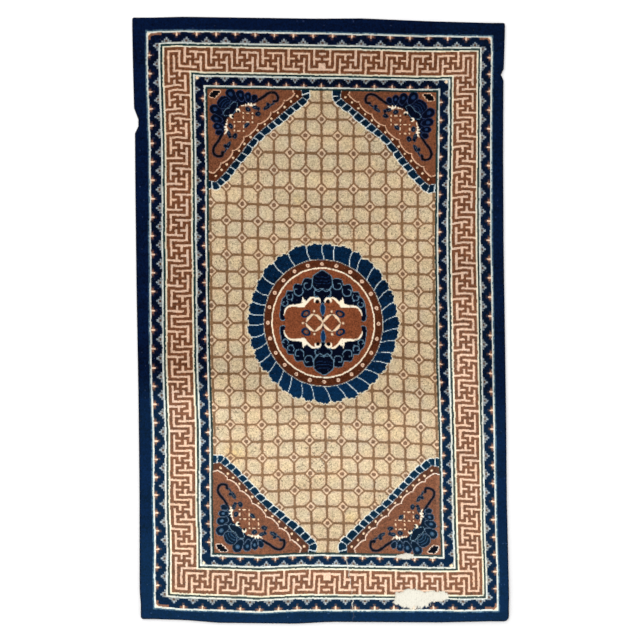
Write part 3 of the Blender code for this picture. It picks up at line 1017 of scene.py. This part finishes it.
def knot_colours(chart, x, y, size, seed):
    """Linear colours of knots of a given size, from the yarns under each."""
    lots = soft_noise(x, y, ((*STREAKS, seed + 1), *DYE_LOTS))
    knots = np.random.default_rng(seed).normal(0.0, KNOT_NOISE, np.shape(x)) + soft_noise(x, y, MOTTLE)
    # How much paler the colours are here, most toward the near end
    paleness = paling_toward_near(x, y)
    bluer = PETALS_BLUER * np.clip(-y / BLUER_OVER, DULLER, 1.0)
    colour, total = 0.0, 0.0
    for dx in (-size / 3, 0.0, size / 3):
        for dy in (-size / 3, 0.0, size / 3):
            yarn = look_up(chart, *to_chart(x + dx, y + dy))
            lift = 1.0 + LOT_SPREAD[yarn] * lots + KNOT_SPREAD[yarn] * knots
            lift = lift + bluer * (yarn == YARN["petal"])
            lift = np.clip(lift, *LIFT_LIMITS) * (1.0 + PALING_LIFT * paleness)
            tint = np.maximum(paleness, 0.0) * (1.0 + ramp(y, *NAVY_PALER) * (yarn == YARN["navy"]))
            sample = YARN_COLOUR[yarn] * lift[..., None] + PALING_TINT[yarn] * tint[..., None]
            weight = MIDDLE_WEIGHT if dx == dy == 0.0 else 1.0
            colour = colour + weight * sample ** (1 / EYE)
            total += weight
    colour = (colour / total) ** EYE
    warmth = soft_noise(x, y, WARMTH) * ramp(colour.mean(axis=-1), 0.0, WARMEST_FROM)
    return colour * (1.0 + warmth[..., None] * WARMER)


def aged(colour, x, y):
    """Stains, specks, the worn fold and the bare places over the knots' colours."""
    bright = colour.mean(axis=-1)
    in_field = bright > PALE_FROM
    for place, (middle, half) in zip((x, y), STAINED_FIELD):
        in_field = in_field & (np.abs(place - middle) < half)
    patches = STAIN_MEAN + soft_noise(x, y, STAIN_PATCHES)
    for *place, strength in STAINS:
        share = ramp(share_out(x, y, place), *STAIN_RIM, strength) * in_field * patches
        colour = colour * (1.0 + share[..., None] * (STAIN_TINT - 1.0))
    dark = (soft_noise(x, y, DARK_SPECKS) - DARK_SPECK_FROM + MORE_IN_NEAR * (y < NEAR_FIELD)) * SPECK_GAIN
    colour = colour * (1.0 - np.clip(dark, 0.0, SPECK_MOST) * in_field)[..., None]
    light = (soft_noise(x, y, LIGHT_SPECKS) > LIGHT_SPECK_FROM) & (bright < DARK_UNDER)
    colour = np.where(light[..., None], colour * LIGHT_SPECK_GAIN + LIGHT_SPECK_ADDS, colour)
    bare = np.maximum(ramp(worn_share(x, y), 1 / 3, 1 / 3), fold_share(x, y))
    cords = 1.0 - CORD_SHADE * (np.round(x / KNOT) % 2) - np.maximum(soft_noise(x, y, BARE_PATCHES), 0.0)
    return colour + bare[..., None] * (BARE_COLOUR * cords[..., None] - colour)


# Shape of the rug

RING_CLOSE = 0.0004  # how near its height the points of the solid's widest ring lie
CORNERS_LEFT = (0.03, 0.04)  # how much of the sides' ends, and of the ends', belongs to the corners
WALL_NOISE = 0.125  # how much the knots round the rug's edge differ
# Shares of the flat map's height: each strip, where the hidden side's starts, where the knots start
MAP_STRIP, MAP_UNDER, MAP_KNOTS = 0.03, 0.033, 0.066


def outline_tables():
    """The rug's sides as (y, x) and ends as (x, y), read from the widest ring of its solid."""
    points = np.array([v.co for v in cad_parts["rug"].data.vertices])
    ring = points[np.abs(points[:, 2] - OUTLINE_SHARE * PILE_TOP) < RING_CLOSE]
    tables = []
    for along, across, corner in zip((1, 0), (0, 1), CORNERS_LEFT):
        kept = ring[np.abs(ring[:, along]) < np.abs(ring[:, along]).max() - corner]
        for sign in (-1, 1):
            side = kept[sign * kept[:, across] > 0]
            tables.append(side[np.argsort(side[:, along])][:, (along, across)])
    return tables


def on_rug(u, v, tables):
    """Points of the rug at shares of its width and length."""
    s = (u - 0.5) * (cad_high[0] - cad_low[0])
    t = (v - 0.5) * (cad_high[1] - cad_low[1])
    left, right, near, far = (np.interp(at, *table.T) for at, table in zip((t, t, s, s), tables))
    return left + (right - left) * u, near + (far - near) * v


def pile_height(x, y):
    """Height of the pile's surface above the floor."""
    wave = np.cos(2 * math.pi * x / WAVE_ACROSS) * np.cos(2 * math.pi * y / WAVE_ALONG)
    whole = PILE_TOP + UNEVEN * wave
    worn = (FOUNDATION_TOP - whole) * worn_share(x, y) - FOLD_DEPTH * fold_share(x, y)
    return whole + soft_noise(x, y, TUFTS) + worn


def rounded_corner(u, v, x, y):
    """Draw the four corners of a grid in, so that they are round."""
    near, far = CORNER_ROUND
    reach = np.where(v < 0.5, np.where(u < 0.5, *near), np.where(u < 0.5, *far))
    gap_x = reach - np.minimum(u, 1 - u) * (cad_high[0] - cad_low[0])
    gap_y = reach - np.minimum(v, 1 - v) * (cad_high[1] - cad_low[1])
    # A square round the corner's centre becomes a disc
    square, distance = np.maximum(np.maximum(gap_x, gap_y), TINY), np.maximum(np.hypot(gap_x, gap_y), TINY)
    drawn_in = np.where((gap_x > 0) & (gap_y > 0), 1 - square / distance, 0.0)
    return x + np.sign(0.5 - u) * gap_x * drawn_in, y + np.sign(0.5 - v) * gap_y * drawn_in


def grid_mesh(name, u, v, tables, chart, knot, seed, face_down=False):
    """A closed slab over shares u by v of the rug, with one coloured face for each knot."""
    grid_u, grid_v = np.meshgrid(u, v)
    x, y = rounded_corner(grid_u, grid_v, *on_rug(grid_u, grid_v, tables))
    z = np.zeros(x.shape) if face_down else pile_height(x, y)
    # Which way is into the rug from the outline, at the points that lie on it
    toward_x = (grid_u == 0).astype(float) - (grid_u == 1)
    toward_y = (grid_v == 0).astype(float) - (grid_v == 1)
    surface, *rings = (
        np.stack([
            x + toward_x * inset, y + toward_y * inset, BACK_THICKNESS + share * (z - BACK_THICKNESS),
        ], axis=-1)
        for share, inset in (BACK_EDGE if face_down else PILE_EDGE)[::-1]
    )
    last_row, last_column = x.shape[0] - 1, x.shape[1] - 1
    rows, columns = np.array(
        [(0, i) for i in range(last_column)] + [(j, last_column) for j in range(last_row)]
        + [(last_row, i) for i in range(last_column, 0, -1)] + [(j, 0) for j in range(last_row, 0, -1)]
    ).T
    points = np.vstack([surface.reshape(-1, 3)] + [ring[rows, columns] for ring in rings])

    index = np.arange(x.size).reshape(x.shape)
    knots = np.stack([index[:-1, :-1], index[:-1, 1:], index[1:, 1:], index[1:, :-1]], axis=-1)
    knots = knots.reshape(-1, 4)
    upper = index[rows, columns]
    faces = [knots]
    for number in range(len(rings)):
        lower = x.size + number * len(rows) + np.arange(len(rows))
        faces.append(np.stack([upper, lower, np.roll(lower, -1), np.roll(upper, -1)], axis=-1))
        upper = lower
    faces, under = np.vstack(faces), upper[::-1]
    if face_down:
        faces, under = faces[:, ::-1], upper

    mesh = bpy.data.meshes.new(name)
    mesh.from_pydata(points.tolist(), [], faces.tolist() + [under.tolist()])
    mesh.validate()
    colour_knots(mesh, x, y, chart, knot, seed, face_down)
    lay_out_map(mesh, len(knots), len(faces) - len(knots))
    mesh.polygons.foreach_set("use_smooth", np.arange(len(mesh.polygons)) < len(faces))
    mesh.update()
    return placed(name, mesh)


def placed(name, data):
    """A new object in the scene."""
    item = bpy.data.objects.new(name, data)
    bpy.context.collection.objects.link(item)
    return item


def values(items, name, width=1):
    """One attribute of all of a mesh's items."""
    found = np.zeros(len(items) * width, np.float32 if width > 1 else np.int32)
    items.foreach_get(name, found)
    return found


def colour_knots(mesh, x, y, chart, knot, seed, face_down):
    """Give each face the colour of its knot, and the rest navy."""
    centre_x = (x[:-1, :-1] + x[1:, 1:]) / 2
    centre_y = (y[:-1, :-1] + y[1:, 1:]) / 2
    colour = knot_colours(chart, centre_x, centre_y, knot, seed)
    if not face_down:
        colour = aged(colour, centre_x, centre_y)
    navy = YARN_COLOUR[YARN["navy"]][None, :]
    wall_count = len(mesh.polygons) - centre_x.size - 1
    lift = np.random.default_rng(seed + 7).normal(1.0, WALL_NOISE, (wall_count, 1))
    every = np.vstack([colour.reshape(-1, 3), navy * lift, navy]).clip(0.0, 1.0)
    every = np.hstack([every, np.ones((len(every), 1))])
    layer = mesh.color_attributes.new("yarn", "FLOAT_COLOR", "CORNER")
    layer.data.foreach_set("color", np.repeat(every, values(mesh.polygons, "loop_total"), axis=0).ravel())


def lay_out_map(mesh, knot_count, wall_count):
    """A flat map that fills the picture: the knots above, the walls and the hidden side in two strips."""
    points = values(mesh.vertices, "co", 3).reshape(-1, 3)
    share = (points - points.min(axis=0)) / np.ptp(points, axis=0)
    share = share[values(mesh.loops, "vertex_index")]
    uv = np.stack([share[:, 0], MAP_KNOTS + share[:, 1] * (1 - MAP_KNOTS)], axis=-1)
    first_wall, first_under = knot_count * 4, (knot_count + wall_count) * 4
    wall, corner = np.divmod(np.arange(first_under - first_wall), 4)
    uv[first_wall:first_under, 0] = (wall + (corner >= 2)) / wall_count
    uv[first_wall:first_under, 1] = MAP_STRIP * ((corner == 0) | (corner == 3))
    uv[first_under:, 1] = MAP_UNDER + share[first_under:, 1] * MAP_STRIP
    layer = mesh.uv_layers.new(name="OFBake")
    layer.uv.foreach_set("vector", uv.astype(np.float32).ravel())


# Materials

def set_inputs(node, **inputs):
    """Set some of a node's inputs. An underscore stands for a space in an input's name."""
    for name, value in inputs.items():
        node.inputs[name.replace("_", " ")].default_value = value
    return node


def new_material(name, **inputs):
    """A material with some of its shader's inputs set, and two functions that add and join its nodes."""
    material = bpy.data.materials.new(name)
    material.use_nodes = True
    tree = material.node_tree
    shader = set_inputs(tree.nodes["Principled BSDF"], **inputs)

    def add(kind, **node_inputs):
        return set_inputs(tree.nodes.new("ShaderNode" + kind), **node_inputs)

    def join(*links):
        for source, output, target, socket in links:
            tree.links.new(source.outputs[output], target.inputs[socket])

    return material, shader, add, join


def wool_material():
    """Cut wool pile: the knots' colours, with the fibres' own specks and soft relief."""
    material, shader, add, join = new_material(
        "wool_pile", Roughness=0.9, Specular_IOR_Level=0.03, Sheen_Weight=0.01, Sheen_Roughness=0.45,
    )
    yarn, place = add("Attribute"), add("TexCoord")
    yarn.attribute_name = "yarn"
    fibres = add("TexNoise", Scale=900, Detail=3)
    shade = add("MapRange", From_Min=0.3, From_Max=0.7, To_Min=0.84, To_Max=1.16)
    shaded = add("VectorMath")
    shaded.operation = "SCALE"
    tufts = add("TexVoronoi", Scale=1.0 / KNOT)
    relief = add("Bump", Strength=0.35, Distance=0.0008)
    relief.invert = True
    join(
        (place, "Object", fibres, "Vector"), (fibres, "Fac", shade, "Value"), (yarn, "Color", shaded, 0),
        (shade, "Result", shaded, "Scale"), (shaded, "Vector", shader, "Base Color"),
        (place, "Object", tufts, "Vector"), (tufts, "Distance", relief, "Height"),
        (relief, "Normal", shader, "Normal"),
    )
    return material


def back_material():
    """Back of the rug: the knots' colours in flat ribs, crossed by cotton wefts."""
    material, shader, add, join = new_material("rug_back", Roughness=0.85, Specular_IOR_Level=0.15)
    yarn, place = add("Attribute"), add("TexCoord")
    yarn.attribute_name = "yarn"
    wefts = add("TexWave", Scale=math.pi / (10 * KNOT), Distortion=0.6, Detail=1.0)
    wefts.bands_direction = "Y"
    share = add("MapRange", From_Min=0.0, From_Max=0.35, To_Min=0.45, To_Max=0.0)
    crossed = add("Mix")
    crossed.data_type = "RGBA"
    set_inputs(crossed, B=(*(0.7 * BARE_COLOUR), 1.0))
    relief = add("Bump", Strength=0.6, Distance=0.0006)
    join(
        (place, "Object", wefts, "Vector"), (wefts, "Fac", share, "Value"),
        (share, "Result", crossed, "Factor"), (yarn, "Color", crossed, "A"),
        (crossed, "Result", shader, "Base Color"), (wefts, "Fac", relief, "Height"),
        (relief, "Normal", shader, "Normal"),
    )
    return material


# The pieces

BAND_COUNT = 4  # the pile is made in bands across the rug, as one mesh would be too large


def make_rug():
    """The pile in bands, and the skin under them."""
    chart, tables = draw_chart(), outline_tables()
    wide, long = cad_high[0] - cad_low[0], cad_high[1] - cad_low[1]
    columns, each = round(wide / KNOT), round(long / KNOT / BAND_COUNT)
    u = np.arange(columns + 1) / columns
    v = np.arange(BAND_COUNT * each + 1) / (BAND_COUNT * each)
    wool = wool_material()
    bands = []
    for number in range(BAND_COUNT):
        part = v[number * each:(number + 1) * each + 1]
        band = grid_mesh(f"rug_pile_{number + 1}", u, part, tables, chart, KNOT, 100 + 10 * number)
        band.data.materials.append(wool)
        bands.append(band)
    back = grid_mesh("rug_back", u[::2], v[::2], tables, chart, 2 * KNOT, 200, face_down=True)
    back.data.materials.append(back_material())
    for piece in bands + [back]:
        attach(piece, "root")
        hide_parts("rug")


# Floor, light and camera

PHOTO_WIDTH = 640  # pixels across the photograph
LENS, SENSOR = 85, 36
CAMERA_OFF = (-0.0018, 0.0008)
CAMERA_NEARER = 0.0015
FLOOR_HALF = 8
FLOOR_HEIGHT = -0.0002
LAMP_PLACE = (-1.4, 1.2, 3.8)
LAMP_SIDE, LAMP_POWER = 3, 70
ROOM_LIGHT = 0.92


def make_stage():
    """A pale floor."""
    mesh = bpy.data.meshes.new("floor")
    corners = [(FLOOR_HALF * x, FLOOR_HALF * y, 0.0) for x, y in ((-1, -1), (1, -1), (1, 1), (-1, 1))]
    mesh.from_pydata(corners, [], [(0, 1, 2, 3)])
    mesh.materials.append(new_material("pale_floor", Base_Color=(0.93, 0.93, 0.93, 1.0), Roughness=0.8)[0])
    floor = placed("floor", mesh)
    floor.location.z = FLOOR_HEIGHT


def make_light():
    """Even white light from all round, and a soft lamp from the far left."""
    world = bpy.data.worlds.new("soft_room")
    world.use_nodes = True
    set_inputs(world.node_tree.nodes["Background"], Color=(1.0, 1.0, 1.0, 1.0), Strength=ROOM_LIGHT)
    bpy.context.scene.world = world
    lamp = placed("soft_lamp", bpy.data.lights.new("soft_lamp", "AREA"))
    lamp.data.shape = "SQUARE"
    lamp.data.size = LAMP_SIDE
    lamp.data.energy = LAMP_POWER
    lamp.location = LAMP_PLACE
    hold = lamp.constraints.new("TRACK_TO")
    hold.target = placed("lamp_aim", None)
    hold.track_axis = "TRACK_NEGATIVE_Z"
    hold.up_axis = "UP_Y"
    bpy.context.scene.view_settings.view_transform = "Standard"


def make_camera():
    """Straight down on the rug, with the photograph's picture across its width."""
    camera = placed("camera", bpy.data.cameras.new("camera"))
    camera.data.lens = LENS
    camera.data.sensor_width = SENSOR
    camera.location = (*CAMERA_OFF, PHOTO_WIDTH * STEP * LENS / SENSOR - CAMERA_NEARER)
    bpy.context.scene.camera = camera


make_rug()
make_stage()
make_light()
make_camera()
